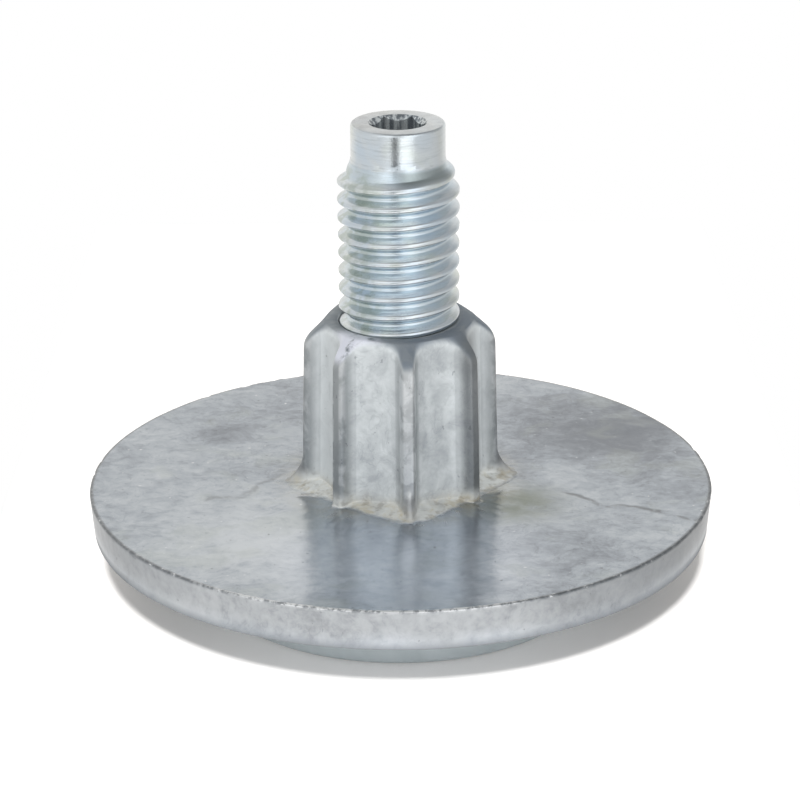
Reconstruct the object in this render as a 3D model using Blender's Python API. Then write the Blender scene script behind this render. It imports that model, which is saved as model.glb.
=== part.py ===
"""Furniture leveling foot: a die-cast base screws up and down an M10 stud and stands on a glide pad.

Metres, +Z up. The origin is on the stud's axis, on the floor under the pad. The front is -Y.
"""

import math

import bmesh
import bpy
from mathutils import Matrix, Vector

# Glide pad
PAD_DIAMETER = 0.0325
PAD_HEIGHT = 0.0059
PAD_DRAFT = math.radians(2.0)
PAD_EDGE_RADIUS = 0.0005
SPIGOT_DIAMETER = 0.0112
SPIGOT_LENGTH = 0.0026
SPIGOT_LEAD_IN = 0.0004
SNAP_BEAD_HEIGHT = 0.0004
SLOT_WIDTH = 0.0012
SLOT_DEPTH = 0.0018

# Base casting: the round plate
PLATE_DIAMETER = 0.0520
PLATE_THICKNESS = 0.0032
RIM_DRAFT = math.radians(4.5)
RIM_TOP_RADIUS = 0.00015
RIM_BOTTOM_RADIUS = 0.0004

# Base casting: the fluted hub that a wrench turns
HUB_HEIGHT = 0.0142
HUB_WALL = 0.0013
HUB_DRAFT = math.radians(1.3)
HUB_CONE_SLOPE = math.radians(42.0)
HUB_SHOULDER_RADIUS = 0.0024
MOUTH_LAND = 0.00095
MOUTH_CHAMFER = 0.0003
FLUTE_COUNT = 8
FLUTE_DEPTH = 0.00165
FLUTE_WIDTH = 0.0051
FLUTE_CORNER_RADIUS = 0.0013
FLUTE_FOOT_RADIUS = 0.0007
LAND_AZIMUTH = math.radians(4.8)

# Base casting: the square plinth under the hub and the webs on its corners
PLINTH_CORNERS = 4
PLINTH_WIDTH = 0.0158
PLINTH_CORNER_RADIUS = 0.0034
PLINTH_HEIGHT = 0.0004
WEB_REACH = 0.00145
WEB_HEIGHT = 0.0015
WEB_TOE_WIDTH = 0.0004
WEB_ROOT_WIDTH = 0.0018

# Threaded stud
THREAD_DIAMETER = 0.0099
THREAD_PITCH = 0.0015
THREAD_DEPTH = 0.00076
THREAD_CREST_WIDTH = 0.00026
THREAD_ROOT_WIDTH = 0.00026
THREAD_RUNOUT = 0.0001
THREAD_GROWTH = 0.5
THREAD_LEAD = math.radians(26.5)
STUD_EXPOSED = 0.0166
NECK_STEP = 0.00112
NECK_LENGTH = 0.0031
NECK_CHAMFER = 0.00025
END_CHAMFER = 0.0011
HEX_ACROSS_FLATS = 0.0040
HEX_DEPTH = 0.0050
HEX_MOUTH_MARGIN = 0.00006
HEX_MOUTH_SLOPE = math.radians(50.0)

# Clearances, and how far a cutter runs past what it cuts
SEAT_GAP = 0.0003
SPIGOT_CLEARANCE = 0.0003
THREAD_CLEARANCE = 0.0003
CUT_OVERRUN = 0.0010

# Finishes: colour, roughness and metallic value
PAD_FINISH = ((0.33, 0.37, 0.38), 0.45, 0.0)
CASTING_FINISH = ((0.50, 0.52, 0.54), 0.40, 1.0)
STUD_FINISH = ((0.66, 0.70, 0.74), 0.22, 1.0)

# Facets
PLATE_SEGMENTS = 96
STUD_SEGMENTS = 32
BORE_SEGMENTS = 48
FILLET_STEPS = 3
SMOOTH_ANGLE = math.radians(30.0)
WELD = 1e-7

# Levels and radii worked out from the sizes above
PLATE_BOTTOM = PAD_HEIGHT + SEAT_GAP
PLATE_TOP = PLATE_BOTTOM + PLATE_THICKNESS
PLATE_MIDDLE = PLATE_BOTTOM + PLATE_THICKNESS / 2
HUB_TOP = PLATE_TOP + HUB_HEIGHT
STUD_TOP = HUB_TOP + STUD_EXPOSED
SPIGOT_TOP = PAD_HEIGHT + SPIGOT_LENGTH
BEAD_LEVEL = PAD_HEIGHT + SPIGOT_LENGTH / 2
STUD_BOTTOM = SPIGOT_TOP + SEAT_GAP
NECK_FOOT = STUD_TOP - NECK_LENGTH
THREAD_TOP = NECK_FOOT - THREAD_RUNOUT
CREST_RADIUS = THREAD_DIAMETER / 2
ROOT_RADIUS = CREST_RADIUS - THREAD_DEPTH
NECK_RADIUS = CREST_RADIUS - NECK_STEP
SPIGOT_RADIUS = SPIGOT_DIAMETER / 2
BORE_RADIUS = CREST_RADIUS + THREAD_CLEARANCE
FLUTE_FLOOR = BORE_RADIUS + HUB_WALL
LAND_RADIUS = FLUTE_FLOOR + FLUTE_DEPTH


def filleted(corners):
    """Points of a polyline given as (radius, height, fillet), each corner rounded by an arc."""
    points = []
    for i, (x, z, fillet) in enumerate(corners):
        here = Vector((x, z))
        if fillet == 0.0:
            points.append(here)
            continue
        back = (Vector(corners[i - 1][:2]) - here).normalized()
        ahead = (Vector(corners[i + 1][:2]) - here).normalized()
        half = back.angle(ahead) / 2
        centre = here + (back + ahead).normalized() * fillet / math.sin(half)
        start = here + back * fillet / math.tan(half) - centre
        end = here + ahead * fillet / math.tan(half) - centre
        for step in range(FILLET_STEPS + 1):
            spoke = start.slerp(end, step / FILLET_STEPS)
            points.append(centre + spoke.normalized() * fillet)
    return points


def new_object(name, bm):
    """An object in the scene from a finished bmesh, with its faces pointing out."""
    bmesh.ops.remove_doubles(bm, verts=bm.verts, dist=WELD)
    bmesh.ops.recalc_face_normals(bm, faces=bm.faces)
    mesh = bpy.data.meshes.new(name)
    bm.to_mesh(mesh)
    bm.free()
    mesh.shade_smooth()
    mesh.set_sharp_from_angle(angle=SMOOTH_ANGLE)
    obj = bpy.data.objects.new(name, mesh)
    bpy.context.collection.objects.link(obj)
    return obj


def add_turned(bm, corners, segments, place=Matrix.Identity(4)):
    """Adds a closed solid turned about Z, from a profile that starts and ends on the axis."""
    verts = [bm.verts.new((p.x, 0.0, p.y)) for p in filleted(corners)]
    edges = [bm.edges.new(pair) for pair in zip(verts, verts[1:])]
    before = set(bm.verts) - set(verts)
    bmesh.ops.spin(
        bm,
        geom=verts + edges,
        axis=(0.0, 0.0, 1.0),
        cent=(0.0, 0.0, 0.0),
        angle=math.tau,
        steps=segments,
        use_merge=True,
    )
    made = [v for v in bm.verts if v not in before]
    bmesh.ops.transform(bm, matrix=place, verts=made)


def turned(name, corners, segments):
    bm = bmesh.new()
    add_turned(bm, corners, segments)
    return new_object(name, bm)


def add_lofted(bm, rings):
    """Adds a closed solid through a stack of outlines that have the same number of points."""
    loops = [[bm.verts.new(p) for p in ring] for ring in rings]
    for low, high in zip(loops, loops[1:]):
        for i in range(len(low)):
            j = (i + 1) % len(low)
            bm.faces.new((low[i], low[j], high[j], high[i]))
    bm.faces.new(loops[0])
    bm.faces.new(loops[-1])


def boolean(target, tool, operation):
    """Cuts the target with a hidden tool, or joins the tool to it."""
    tool.hide_render = True
    tool.display_type = "WIRE"
    tool.parent = target.parent
    modifier = target.modifiers.new(tool.name, "BOOLEAN")
    modifier.operation = operation
    modifier.solver = "EXACT"
    modifier.object = tool


def finish(obj, look):
    colour, roughness, metallic = look
    material = bpy.data.materials.new(obj.name)
    material.use_nodes = True
    shader = material.node_tree.nodes["Principled BSDF"]
    shader.inputs["Base Color"].default_value = (*colour, 1.0)
    shader.inputs["Roughness"].default_value = roughness
    shader.inputs["Metallic"].default_value = metallic
    obj.data.materials.append(material)


def spigot_slots():
    """A cross-shaped cutter that splits the spigot into four snap fingers."""
    reach = SPIGOT_RADIUS + SNAP_BEAD_HEIGHT + CUT_OVERRUN
    half = SLOT_WIDTH / 2
    outline = []
    for quarter in range(4):
        turn = Matrix.Rotation(quarter * math.pi / 2, 2)
        outline += [turn @ Vector(p) for p in ((half, half), (half, reach), (-half, reach))]
    bm = bmesh.new()
    levels = (SPIGOT_TOP - SLOT_DEPTH, SPIGOT_TOP + CUT_OVERRUN)
    add_lofted(bm, [[(*p, level) for p in outline] for level in levels])
    return new_object("spigot_slots", bm)


def glide_pad():
    """Moulded disc on the floor, with a split snap spigot that goes up into the casting."""
    floor_radius = PAD_DIAMETER / 2
    seat_radius = floor_radius + PAD_HEIGHT * math.tan(PAD_DRAFT)
    pad = turned(
        "glide_pad",
        [
            (0.0, 0.0, 0.0),
            (floor_radius, 0.0, PAD_EDGE_RADIUS),
            (seat_radius, PAD_HEIGHT, PAD_EDGE_RADIUS),
            (SPIGOT_RADIUS, PAD_HEIGHT, 0.0),
            (SPIGOT_RADIUS, BEAD_LEVEL - SNAP_BEAD_HEIGHT, 0.0),
            (SPIGOT_RADIUS + SNAP_BEAD_HEIGHT, BEAD_LEVEL, 0.0),
            (SPIGOT_RADIUS, BEAD_LEVEL + SNAP_BEAD_HEIGHT, 0.0),
            (SPIGOT_RADIUS, SPIGOT_TOP - SPIGOT_LEAD_IN, 0.0),
            (SPIGOT_RADIUS - SPIGOT_LEAD_IN, SPIGOT_TOP, 0.0),
            (0.0, SPIGOT_TOP, 0.0),
        ],
        PLATE_SEGMENTS,
    )
    boolean(pad, spigot_slots(), "DIFFERENCE")
    finish(pad, PAD_FINISH)


def casting_blank():
    """The turned form of the plate and the hub, before the flutes and the bore are cut."""
    rim_top = PLATE_DIAMETER / 2
    rim_bottom = rim_top - PLATE_THICKNESS * math.tan(RIM_DRAFT)
    top_radius = BORE_RADIUS + MOUTH_LAND
    # The cone falls from the top face's edge until it meets the drafted side.
    draft = math.tan(HUB_DRAFT)
    fall = math.tan(HUB_CONE_SLOPE)
    shoulder = (LAND_RADIUS - (HUB_HEIGHT + top_radius * fall) * draft) / (1.0 - fall * draft)
    return turned(
        "base_casting",
        [
            (0.0, PLATE_BOTTOM, 0.0),
            (rim_bottom, PLATE_BOTTOM, RIM_BOTTOM_RADIUS),
            (rim_top, PLATE_TOP, RIM_TOP_RADIUS),
            (LAND_RADIUS, PLATE_TOP, 0.0),
            (shoulder, HUB_TOP - (shoulder - top_radius) * fall, HUB_SHOULDER_RADIUS),
            (top_radius, HUB_TOP, 0.0),
            (0.0, HUB_TOP, 0.0),
        ],
        PLATE_SEGMENTS,
    )


def flute_section(inset):
    """Outline of one flute, square to its length: a flat floor with round corners, open on the outside."""
    half = FLUTE_WIDTH / 2 - inset
    radius = FLUTE_CORNER_RADIUS - inset
    outer = FLUTE_DEPTH + CUT_OVERRUN
    corners = [(outer, -half, 0.0), (inset, -half, radius), (inset, half, radius), (outer, half, 0.0)]
    return filleted(corners)


def flutes():
    """Leaning cutters with rounded feet that scoop out the flutes and leave the lands between them."""
    foot = PLATE_TOP + PLINTH_HEIGHT
    layers = []
    for step in range(FILLET_STEPS + 1):
        turn = step / FILLET_STEPS * math.pi / 2
        inset = FLUTE_FOOT_RADIUS * (1.0 - math.sin(turn))
        layers.append((inset, FLUTE_FOOT_RADIUS * (1.0 - math.cos(turn))))
    layers.append((0.0, HUB_TOP + CUT_OVERRUN - foot))
    stand = Matrix.Translation((FLUTE_FLOOR, 0.0, foot))
    lean = Matrix.Rotation(-HUB_DRAFT, 4, "Y")
    bm = bmesh.new()
    for i in range(FLUTE_COUNT):
        place = Matrix.Rotation((i + 0.5) * math.tau / FLUTE_COUNT, 4, "Z") @ stand @ lean
        rings = [[place @ Vector((*p, level)) for p in flute_section(inset)] for inset, level in layers]
        add_lofted(bm, rings)
    return new_object("flutes", bm)


def plinth():
    """The low square that the hub stands on, with sloping sides and round corners."""
    sector = math.tau / PLINTH_CORNERS
    reach = (PLINTH_WIDTH / 2 - PLINTH_CORNER_RADIUS) / math.cos(sector / 2)
    steps = FILLET_STEPS * 2
    rings = []
    for level, inset in ((PLATE_MIDDLE, 0.0), (PLATE_TOP, 0.0), (PLATE_TOP + PLINTH_HEIGHT, PLINTH_HEIGHT)):
        ring = []
        for corner in range(PLINTH_CORNERS):
            centre = Vector((reach, 0.0))
            turn = Matrix.Rotation(corner * sector, 2)
            for step in range(steps + 1):
                arc = Matrix.Rotation((step / steps - 0.5) * sector, 2)
                spoke = arc @ Vector((PLINTH_CORNER_RADIUS - inset, 0.0))
                ring.append((*(turn @ (centre + spoke)), level))
        rings.append(ring)
    bm = bmesh.new()
    add_lofted(bm, rings)
    return new_object("plinth", bm)


def corner_webs():
    """Small sloping webs that run from every second land down to the plinth's corners."""
    inner = (FLUTE_FLOOR + LAND_RADIUS) / 2
    toe = LAND_RADIUS + WEB_REACH
    crest = PLATE_TOP + WEB_HEIGHT * (toe - inner) / WEB_REACH
    root = WEB_ROOT_WIDTH / 2
    tip = WEB_TOE_WIDTH / 2
    lower = [(inner, -root), (toe, -tip), (toe, tip), (inner, root)]
    upper = [(inner, -tip, crest), (toe, -tip, PLATE_TOP), (toe, tip, PLATE_TOP), (inner, tip, crest)]
    bm = bmesh.new()
    for i in range(PLINTH_CORNERS):
        turn = Matrix.Rotation(i * math.tau / PLINTH_CORNERS, 3, "Z")
        under = [turn @ Vector((*p, PLATE_MIDDLE)) for p in lower]
        add_lofted(bm, [under, [turn @ Vector(p) for p in upper]])
    return new_object("corner_webs", bm)


def bore():
    """The tapped bore at its major diameter, with a countersunk mouth and the pad's snap socket below."""
    socket = SPIGOT_RADIUS + SPIGOT_CLEARANCE
    mouth = BORE_RADIUS + MOUTH_CHAMFER + CUT_OVERRUN
    return turned(
        "bore",
        [
            (0.0, PLATE_BOTTOM - CUT_OVERRUN, 0.0),
            (socket, PLATE_BOTTOM - CUT_OVERRUN, 0.0),
            (socket, BEAD_LEVEL - SNAP_BEAD_HEIGHT, 0.0),
            (socket + SNAP_BEAD_HEIGHT, BEAD_LEVEL, 0.0),
            (socket, BEAD_LEVEL + SNAP_BEAD_HEIGHT, 0.0),
            (socket, STUD_BOTTOM, 0.0),
            (BORE_RADIUS, STUD_BOTTOM, 0.0),
            (BORE_RADIUS, HUB_TOP - MOUTH_CHAMFER, 0.0),
            (mouth, HUB_TOP + CUT_OVERRUN, 0.0),
            (0.0, HUB_TOP + CUT_OVERRUN, 0.0),
        ],
        BORE_SEGMENTS,
    )


def base_casting():
    """Plate and fluted hub in one die casting, carried by an empty on the axis that it turns about."""
    axis = bpy.data.objects.new("base_turn_axis", None)
    bpy.context.collection.objects.link(axis)
    axis.rotation_euler.z = LAND_AZIMUTH - math.pi / 2
    casting = casting_blank()
    casting.parent = axis
    boolean(casting, flutes(), "DIFFERENCE")
    boolean(casting, plinth(), "UNION")
    boolean(casting, corner_webs(), "UNION")
    boolean(casting, bore(), "DIFFERENCE")
    finish(casting, CASTING_FINISH)


def hex_socket():
    """A six-sided cutter with two of its corners to the left and right."""
    corner = HEX_ACROSS_FLATS / 2 / math.cos(math.pi / 6)
    hexagon = [Matrix.Rotation(k * math.pi / 3, 2) @ Vector((corner, 0.0)) for k in range(6)]
    bm = bmesh.new()
    levels = (STUD_TOP - HEX_DEPTH, STUD_TOP + CUT_OVERRUN)
    add_lofted(bm, [[(*p, level) for p in hexagon] for level in levels])
    return new_object("hex_socket", bm)


def hex_mouth():
    """The cone that breaks the edge of the hexagon socket."""
    rim = HEX_ACROSS_FLATS / 2 / math.cos(math.pi / 6) + HEX_MOUTH_MARGIN
    return turned(
        "hex_mouth",
        [
            (0.0, STUD_TOP - rim * math.tan(HEX_MOUTH_SLOPE), 0.0),
            (rim, STUD_TOP, 0.0),
            (rim, STUD_TOP + CUT_OVERRUN, 0.0),
            (0.0, STUD_TOP + CUT_OVERRUN, 0.0),
        ],
        STUD_SEGMENTS,
    )


def stud_point(step, radius, level):
    """A point on the stud, a number of segments round from its right side."""
    angle = step * math.tau / STUD_SEGMENTS
    return (radius * math.cos(angle), radius * math.sin(angle), level)


def stud_ring(bm, radius, level):
    return [bm.verts.new(stud_point(step, radius, level)) for step in range(STUD_SEGMENTS)]


def add_band(bm, low, high):
    """Adds the faces between two rows of points round the stud. A row's last point is where it closes."""
    for i in range(STUD_SEGMENTS):
        bm.faces.new((low[i], low[i + 1], high[i + 1], high[i]))


def thread_columns(bm):
    """Columns of the right-hand thread's corners, the first a turn longer, and the corners in a turn.

    The root narrows to the neck. The ridge has part of its depth where it starts, and grows from there.
    """
    flank = (THREAD_PITCH - THREAD_CREST_WIDTH - THREAD_ROOT_WIDTH) / 2
    corners = [
        (0.0, 0.0),
        (flank, THREAD_DEPTH),
        (flank + THREAD_CREST_WIDTH, THREAD_DEPTH),
        (THREAD_PITCH - THREAD_ROOT_WIDTH, 0.0),
    ]
    turns = int((THREAD_TOP - STUD_BOTTOM - END_CHAMFER) / THREAD_PITCH)
    columns = []
    for step in range(STUD_SEGMENTS):
        whole = turns if step == 0 else turns - 1
        column = []
        for row in range(whole * len(corners) + 1):
            turn, corner = divmod(row, len(corners))
            rise, ridge = corners[corner]
            climb = turn + step / STUD_SEGMENTS
            level = THREAD_TOP + (climb - turns) * THREAD_PITCH + rise
            lead = NECK_RADIUS + (NECK_FOOT - level) * math.tan(THREAD_LEAD)
            grown = min(1.0, THREAD_GROWTH + turns - 1 - climb)
            radius = min(ROOT_RADIUS, lead) + ridge * grown
            column.append(bm.verts.new(stud_point(step, radius, level)))
        columns.append(column)
    return columns, len(corners)


def add_thread(bm, end, neck):
    """Adds the thread between the rings of the stud's end and neck, with a flat face at both its ends."""
    columns, corners = thread_columns(bm)
    first = columns[0]
    # Once round, a row meets the first column one turn higher.
    columns.append(first[corners:])
    rows = list(zip(*columns))
    for low, high in zip([end] + rows, rows + [neck]):
        add_band(bm, low, high)
    bm.faces.new(end[:1] + first[: corners + 1])
    bm.faces.new(neck[:1] + first[-corners - 1 :])


def threaded_stud():
    """M10 stud with its thread, a plain pilot neck and a hexagon socket in its top end."""
    bm = bmesh.new()
    end = stud_ring(bm, CREST_RADIUS - END_CHAMFER, STUD_BOTTOM)
    foot = stud_ring(bm, NECK_RADIUS, NECK_FOOT)
    edge = stud_ring(bm, NECK_RADIUS, STUD_TOP - NECK_CHAMFER)
    top = stud_ring(bm, NECK_RADIUS - NECK_CHAMFER, STUD_TOP)
    bm.faces.new(end)
    bm.faces.new(top)
    rings = [ring + ring[:1] for ring in (end, foot, edge, top)]
    add_thread(bm, rings[0], rings[1])
    add_band(bm, rings[1], rings[2])
    add_band(bm, rings[2], rings[3])
    stud = new_object("threaded_stud", bm)
    boolean(stud, hex_socket(), "DIFFERENCE")
    boolean(stud, hex_mouth(), "DIFFERENCE")
    finish(stud, STUD_FINISH)


def main():
    for old in list(bpy.data.objects):
        bpy.data.objects.remove(old)
    glide_pad()
    base_casting()
    threaded_stud()


main()
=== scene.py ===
"""Looks of the furniture leveling foot: fine meshes of its three pieces, their finishes and a studio.

Metres, +Z up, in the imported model's frame, and the photograph looks along +Y. A mesh here is a grid:
a column is a place around the axis, and a row is a place along the profile of the piece.
"""

import math

import bpy
import numpy as np
from mathutils import Matrix, Vector, noise


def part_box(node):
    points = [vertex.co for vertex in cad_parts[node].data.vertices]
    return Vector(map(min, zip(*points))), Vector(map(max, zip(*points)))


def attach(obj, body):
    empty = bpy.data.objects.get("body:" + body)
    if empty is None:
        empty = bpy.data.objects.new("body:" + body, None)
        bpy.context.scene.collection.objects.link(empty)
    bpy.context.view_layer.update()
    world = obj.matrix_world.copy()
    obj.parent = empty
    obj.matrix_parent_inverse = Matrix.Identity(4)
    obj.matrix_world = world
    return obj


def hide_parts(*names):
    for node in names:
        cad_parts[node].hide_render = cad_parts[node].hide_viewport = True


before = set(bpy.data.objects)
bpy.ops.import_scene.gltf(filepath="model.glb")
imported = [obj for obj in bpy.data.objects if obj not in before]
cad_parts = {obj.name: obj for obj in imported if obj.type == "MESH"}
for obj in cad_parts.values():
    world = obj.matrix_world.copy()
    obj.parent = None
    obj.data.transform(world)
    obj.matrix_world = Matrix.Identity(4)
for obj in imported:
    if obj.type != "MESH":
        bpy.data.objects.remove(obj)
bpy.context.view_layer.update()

MM = 0.001
SHARP_ANGLE = math.radians(40.0)

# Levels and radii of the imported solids
_, PAD_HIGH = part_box("glide_pad")
CASTING_LOW, CASTING_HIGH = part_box("base_casting")
STUD_LOW, STUD_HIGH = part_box("threaded_stud")
SPIGOT_TOP = PAD_HIGH.z
PLATE_BOTTOM = CASTING_LOW.z
HUB_TOP = CASTING_HIGH.z
STUD_BOTTOM = STUD_LOW.z
STUD_TOP = STUD_HIGH.z
THREAD_RADIUS = STUD_HIGH.x

# Casting: plate and rim
PLATE_TOP = PLATE_BOTTOM + 3.2 * MM
PLATE_RADIUS = 25.97 * MM
RIM_DRAFT = math.radians(4.5)
RIM_TOP_RADIUS = 0.16 * MM
EDGE_LINE = 0.18 * MM
RIM_BOTTOM_RADIUS = 0.15 * MM
RIM_LIP = 0.2 * MM
RIM_LIP_WIDTH = 1.2 * MM
RIM_SHARES = (0.1, 0.25, 0.5, 0.75)
WAVINESS = 0.035 * MM
BROAD_WAVE = 5.0 * MM
FINE_WAVE = 2.0 * MM
NICK_DEPTH = 0.07 * MM
NICK_LENGTH = 0.9 * MM

# Casting: hub
LAND_AZIMUTH = math.radians(4.8)
FLUTE_COUNT = 8
FLUTE_HALF_ANGLE = math.radians(18.0)
FLUTE_SQUARENESS = 4.2
SOFTENING = 4
LAND_RADIUS = 8.2 * MM
FLUTE_FLOOR = 6.5 * MM
HUB_DRAFT = math.tan(math.radians(1.3))
HUB_TOP_RADIUS = 6.2 * MM
HUB_CONE = math.tan(math.radians(42.0))
SHOULDER_BLEND = 0.8 * MM
BORE_RADIUS = 5.02 * MM
MOUTH_CHAMFER = 0.12 * MM
TAPPED_DEPTH = 3.2 * MM
THREAD_GAP = 0.07 * MM
CONE_ZONE = 3.2 * MM
FOOT_ZONE = 2.6 * MM
LEDGE_ZONE = 0.6 * MM

# Casting: plinth and webs under the hub, and the pad's socket below the plate
PLINTH_CORNERS = 4
PLINTH_HALF_WIDTH = 7.8 * MM
PLINTH_CORNER_RADIUS = 3.0 * MM
PLINTH_SLOPE = math.tan(math.radians(9.0))
PLINTH_EDGE = 0.02 * MM
PLINTH_RAGGED = 0.22 * MM
RAGGED_SIZE = 1.3 * MM
LEDGE_ROUGHNESS = 0.05 * MM
LUMP_SIZE = 0.8 * MM
FINE_LUMP_SIZE = 0.4 * MM
FOOT_BLEND = 0.9 * MM
WEB_BLEND = 0.7 * MM
WEB_REACH = 1.35 * MM
WEB_HEIGHT = 1.5 * MM
WEB_HALF_WIDTH = 0.12 * MM
WEB_FLANK = 2.6
SOCKET_RADIUS = 5.9 * MM
SOCKET_EDGE = 0.2 * MM

# Casting: where the waves, lumps and nicks of its skin start and where they are full
UPPER_SIDE = PLATE_TOP - 0.5 * MM
HUB_INSIDE = BORE_RADIUS + 0.4 * MM
HUB_WAVES = (PLATE_TOP + 0.05 * MM, PLATE_TOP + 0.8 * MM)
PLATE_WAVES = (10.0 * MM, 12.0 * MM)
RIM_WAVES = (PLATE_RADIUS - 0.5 * MM, PLATE_RADIUS - 0.2 * MM)
LEDGE_OUTSIDE = 11.0 * MM
LEDGE_FADE = (PLATE_TOP + 0.5 * MM, PLATE_TOP + 1.0 * MM)
NICK_FADE = (PLATE_TOP - 0.4 * MM, PLATE_TOP)
NICK_NOISE = (0.25, 0.7)

# Casting: where the masks of its finish start and where they are full
MASK_INSIDE = BORE_RADIUS + 0.5 * MM
MASK_OUTSIDE = 10.4 * MM
TOP_FACE = HUB_TOP - 0.3 * MM
TOP_FADE = (HUB_TOP - 0.06 * MM, HUB_TOP - 0.02 * MM)
CONE_FADE = (0.06 * MM, 0.55 * MM)
FLUTE_FADE = (0.35 * MM, 1.1 * MM)
HUB_FADE = (0.0, 0.10 * MM)
FOOT_FADE = (0.4 * MM, 1.6 * MM)
WALL_FADE = (0.5 * MM, 1.2 * MM)
WEB_SIDE_FADE = (0.3 * MM, 0.8 * MM)
WEB_TOP_FADE = (1.2 * MM, 2.0 * MM)
RIM_FADE = (PLATE_RADIUS - RIM_TOP_RADIUS - EDGE_LINE, PLATE_RADIUS - 0.12 * MM)
EDGE_FADE = (-0.2 * MM, -0.05 * MM)
UNDER_FADE = (-0.15 * MM, 0.1 * MM)
CORNER_BEND = (0.04 * MM, 0.09 * MM)
HIGHLIT_BEND = (0.02 * MM, 0.07 * MM)

# Casting: columns round the axis, and rows of each stretch of its profile
CASTING_COLUMNS = 512
TAPPED_ROWS = 36
CONE_ROWS = 34
WALL_ROWS = 28
FOOT_ROWS = 22
LEDGE_ROWS = 16
PLATE_ROWS = 28
FILLET_ROWS = 5
UNDER_ROWS = 10

# Stud
PITCH = 1.5 * MM
THREAD_DEPTH = 0.76 * MM
CREST_HALF_WIDTH = 0.085
FLANK_CURVE = 0.04
ROOT_BLEND = 0.1 * MM
TIP_BLEND = 0.06 * MM
CREST_LEVEL = 33.87 * MM
CREST_ANGLE = math.pi
NECK_RADIUS = 3.82 * MM
NECK_FOOT = STUD_TOP - 3.1 * MM
NECK_BLEND = 0.25 * MM
NECK_CHAMFER = 0.25 * MM
LEAD_SLOPE = 0.5
FIRST_CREST = 36.87 * MM
END_CHAMFER = 1.1 * MM
HEX_ACROSS_FLATS = 4.0 * MM
HEX_DEPTH = 5.0 * MM
HEX_MOUTH_MARGIN = 0.06 * MM
HEX_MOUTH_SLOPE = math.tan(math.radians(50.0))
STUD_COLUMNS = 144
ROWS_PER_PITCH = 16
NECK_ROWS = 8

# Stud: where the masks of its finish start and where they are full, the run-out in degrees from the
# front and in metres below the top
ROOT_FADE = (0.4, 1.0)
THREAD_FADE = (NECK_FOOT - 0.8 * MM, NECK_FOOT)
END_FACE_DEPTH = 0.1 * MM
RUN_OUT_START = (-8.0, 10.0)
RUN_OUT_END = (55.0, 85.0)
RUN_OUT_TOP = (2.9 * MM, 3.3 * MM)
RUN_OUT_BOTTOM = (3.8 * MM, 4.3 * MM)

# Pad
PAD_RADIUS = 16.25 * MM
PAD_DRAFT = math.tan(math.radians(2.0))
PAD_EDGE_RADIUS = 0.5 * MM
PAD_TOP = PLATE_BOTTOM - 0.3 * MM
SPIGOT_RADIUS = 5.6 * MM
SPIGOT_LEAD_IN = 0.4 * MM
PAD_MIDDLE = 1.0 * MM
PAD_COLUMNS = 192
PAD_FACE_ROWS = 12
PAD_EDGE_ROWS = 7
PAD_SEAT_ROWS = 8

# Camera, fitted to the photograph's plate, hub and stud
CAMERA_PLACE = Vector((0.0, -210.0, 98.33)) * MM
CAMERA_PITCH = 0.3722
CAMERA_ROLL = -0.0080
CAMERA_LENS = 122.05

# Painted shade and light on the casting, in millimetres: patches with their centre, their radius, and how
# much darker they are, or lighter where that is negative
SHADE_AND_LIGHT_PATCHES = (
    ((17.5, 11.0, 0.0), 13.0, 0.20),
    ((20.0, 5.0, 0.0), 8.0, 0.08),
    ((26.0, -2.0, 0.0), 9.0, 0.08),
    ((-15.4, 10.5, 0.0), 3.8, 0.10),
    ((-10.0, 18.0, 0.0), 11.0, 0.08),
    ((-13.0, -14.0, 0.0), 15.0, -0.12),
    ((0.5, -17.0, 0.0), 13.0, -0.06),
    ((13.4, -15.0, 0.0), 8.0, 0.07),
    ((-7.2, -3.7, 0.0), 4.0, -0.22),
    ((7.4, -2.4, 0.0), 3.5, -0.30),
    ((-2.3, -6.4, 0.0), 2.8, 0.04),
    ((3.1, -6.1, 0.0), 2.8, 0.07),
)
# Centre of a painted bluish sheen on the plate in front of the hub
FRONT_SHEEN_CENTRE = (0.5, -17.0, 0.0)
# Centre of a painted highlight on the land in front
LAND_HIGHLIGHT_CENTRE = (0.7, -8.1, 0.0)
# Centre of a painted highlight on the left of the cone
CONE_HIGHLIGHT_CENTRE = (-4.0, -5.4, 0.0)
# Centre of painted shade on the land to the right
LAND_SHADE_CENTRE = (6.3, -5.3, 0.0)
# Centre of painted shade at the top of a flute on the right
ARCH_SHADE_CENTRE = (5.9, -3.6, HUB_TOP / MM - 2.0)
# Centre of the painted highlight on the rim's front edge
EDGE_HIGHLIGHT_CENTRE = (-3.0, -26.0, 0.0)
OLIVE_PATCH_CENTRE = (9.5, -5.5, 0.0)
STAIN_TOP = PLATE_TOP / MM + 1.6
# Greenish side of the plating on the thread
GREEN_SIDE = (-4.4, -2.6, 0.0)
# Cold-flow lines: how dark each is, and its points
FLOW_LINES = (
    (0.75, ((13.6, -3.5, 0.0), (15.9, -5.7, 0.0), (19.5, -7.0, 0.0), (24.3, -9.3, 0.0))),
    (0.45, ((-8.4, 3.5, 0.0), (-11.0, -0.4, 0.0), (-13.3, -3.9, 0.0), (-15.8, -4.5, 0.0))),
)

# Studio
KEY_PLACE = (-0.015, -0.55, 0.46)
KEY_SIZE = 0.045
KEY_POWER = 6.4
KEY_TARGET = (0.0, 0.0, 0.01)
FLOOR_LEVEL = -0.05 * MM
FLOOR_COLOUR = (0.90, 0.88, 0.86, 1.0)
FLOOR_LIGHT_MIDDLE = 0.115
FLOOR_LIGHT_SIDES = 0.01
FLOOR_FRONT, FLOOR_BACK, FLOOR_HALF_WIDTH = -0.060, 0.100, 0.036


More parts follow.
